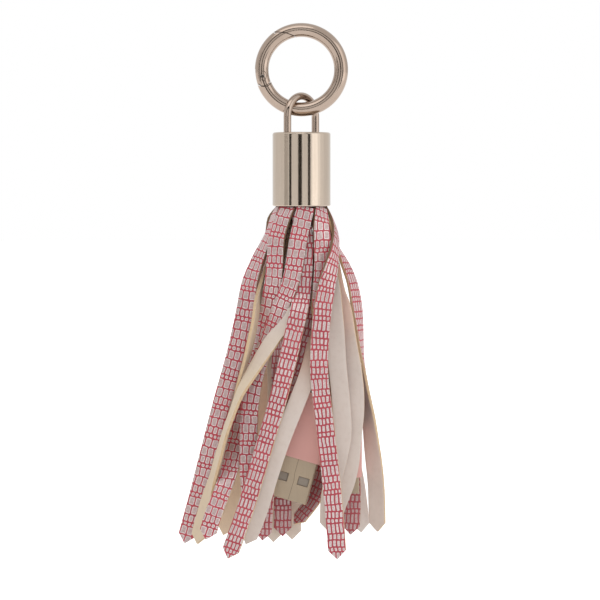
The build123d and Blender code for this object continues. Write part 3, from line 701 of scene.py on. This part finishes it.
by_node = {
    "ring_body": nickel_ring, "gate": nickel_ring, "gate_pin": nickel_ring,
    "gate_spring": steel, "bail": nickel_ring, "bail_washer": nickel_cap, "cap": nickel_cap,
    "core_plug": compound_finish, "header_roll": cream_back, "cable_bend": jacket_finish,
}
for kind in lead_runs:
    by_node.update({f"{kind}_relief": relief_finish, f"{kind}_grip": grip_finish,
                    f"{kind}_shell": shell_finish, f"{kind}_insert": insert_finish,
                    f"{kind}_contacts": contact_finish})
    leads[kind].data.materials.append(jacket_finish)
for name, material in by_node.items():
    node[name].data.materials.clear()
    node[name].data.materials.append(material)
print("finished nodes", len(by_node))

# %% [markdown]
# ## Light
# Soft light from all round comes from the world. Three soft boxes on the right, one wider than
# the next, lift that side of the metal in steps, and one above lights the top. A black ring and
# a black disc round the lens give the metal its dark lines: a polished cylinder only looks like
# one when there is something dark for it to mirror. The world is white where it is looked at or
# mirrored, and a little darker as light.

# %% The world
world = bpy.data.worlds.new("studio")
bpy.context.scene.world = world
world.use_nodes = True
sky = world.node_tree
sky.nodes.clear()
looking_rays = ("Is Camera Ray", "Is Glossy Ray", "Is Transmission Ray")
rays = sky.nodes.new("ShaderNodeLightPath")
looked_at = rays.outputs[looking_rays[0]]
for ray in looking_rays[1:]:
    either = sky.nodes.new("ShaderNodeMath")
    either.operation = "MAXIMUM"
    sky.links.new(looked_at, either.inputs[0])
    sky.links.new(rays.outputs[ray], either.inputs[1])
    looked_at = either.outputs[0]
ambient, backdrop = 0.84, 1.0
strength = sky.nodes.new("ShaderNodeMapRange")
sky.links.new(looked_at, strength.inputs[0])
strength.inputs[3].default_value, strength.inputs[4].default_value = ambient, backdrop
glow = sky.nodes.new("ShaderNodeBackground")
glow.inputs[0].default_value = (1, 1, 1, 1)
sky.links.new(strength.outputs[0], glow.inputs[1])
sky.links.new(glow.outputs[0], sky.nodes.new("ShaderNodeOutputWorld").inputs[0])
print("world gives", ambient, "as light and", backdrop, "where it is looked at")


# %% Soft boxes
def soft_box(name, azimuth, rise, distance, size, power):
    """azimuth and rise in degrees as seen from the charm, distance and size in metres."""
    data = bpy.data.lights.new(name, "AREA")
    data.shape, data.size, data.size_y, data.energy = "RECTANGLE", *size, power
    lamp = bpy.data.objects.new(name, data)
    a, e = math.radians(azimuth), math.radians(rise)
    away = Vector((math.sin(a) * math.cos(e), -math.cos(a) * math.cos(e), math.sin(e)))
    lamp.location = aim + distance * away
    lamp.rotation_euler = away.to_track_quat("Z", "Y").to_euler()
    lamp.visible_camera = False
    bpy.context.scene.collection.objects.link(lamp)
    return lamp


soft_box("box_right", 54, 5, 0.9, (0.44, 1.2), 0.62)
soft_box("box_wide", 60, 5, 0.9, (0.64, 1.2), 0.72)
soft_box("box_side", 72, 5, 0.9, (0.90, 1.2), 0.5)
soft_box("box_top", -20, 60, 1.0, (0.8, 0.5), 1.2)
print("soft boxes placed")

# %% Black flags and the grey card
flag_height = -0.03                      # metres, from the middle of the ring
black = Finish("black_flag")
flag_finish = black.surface(Base_Color=(0.03, 0.025, 0.02, 1), Roughness=0.9)


def as_flag(name, finish):
    """The piece just added is seen only in reflections, and isn't part of the object."""
    made = bpy.context.object
    made.name = name
    made.data.materials.append(finish)
    made.visible_camera = made.visible_diffuse = made.visible_shadow = False


ring_distance, ring_angle, ring_turn = 0.7, math.radians(37.5), math.radians(-7.5)
bpy.ops.object.select_all(action="DESELECT")
bpy.ops.mesh.primitive_torus_add(
    location=(ring_distance * math.sin(ring_turn), -ring_distance * math.cos(ring_turn),
              flag_height),
    rotation=(math.pi / 2, 0, ring_turn), major_segments=96, minor_segments=16,
    major_radius=ring_distance * math.tan(ring_angle), minor_radius=0.075)
as_flag("flag_ring", flag_finish)
disc_distance, disc_turn = 1.4, math.radians(-6)
bpy.ops.object.select_all(action="DESELECT")
bpy.ops.mesh.primitive_circle_add(
    vertices=64, radius=0.19, fill_type="NGON", rotation=(math.pi / 2, 0, 0),
    location=(disc_distance * math.sin(disc_turn), -disc_distance, flag_height))
as_flag("flag_lens", flag_finish)

# a grey card on the left takes the shine off that flank of the cap
grey = Finish("grey_card")
card_finish = grey.surface(Base_Color=(0.80, 0.78, 0.76, 1), Roughness=0.9)
card_distance, card_turn = 0.75, math.radians(-63)
bpy.ops.object.select_all(action="DESELECT")
bpy.ops.mesh.primitive_plane_add(
    size=1, rotation=(math.pi / 2, 0, card_turn),
    location=(card_distance * math.sin(card_turn), -card_distance * math.cos(card_turn),
              flag_height))
bpy.context.object.scale = (0.24, 0.7, 1)
bpy.ops.object.transform_apply(location=False, rotation=True, scale=True)
as_flag("card_left", card_finish)
print("flags and card placed")

# %% [markdown]
# ## Floor
# A pale floor lies 20 mm below the tips. It is white where light reaches it and keeps the
# soft shadow of the charm; the lift that makes it meet the white world is only for the rays
# that look at it.

# %% Floor
floor_drop, floor_lift = 0.020, 0.62
bpy.ops.object.select_all(action="DESELECT")
lowest = min(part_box(f"strand_{k:02d}")[0].z for k in strip_finish)
bpy.ops.mesh.primitive_plane_add(size=12, location=(0, 0, lowest - floor_drop))
floor = bpy.context.object
floor.name = "floor"
paper = Finish("white_paper")
camera_ray, glossy_ray, clear_ray = (paper.add("ShaderNodeLightPath", out=ray)
                                     for ray in looking_rays)
looking = camera_ray.math("MAXIMUM", glossy_ray).math("MAXIMUM", clear_ray)
paper.surface(Base_Color=(0.82, 0.82, 0.82, 1), Roughness=0.9, Emission_Color=(1, 1, 1, 1),
              Emission_Strength=looking * floor_lift)
floor.data.materials.append(paper.material)
print("floor at", round((lowest - floor_drop) / mm, 1), "mm")

# %% Bring the scene up to date
bpy.context.view_layer.update()
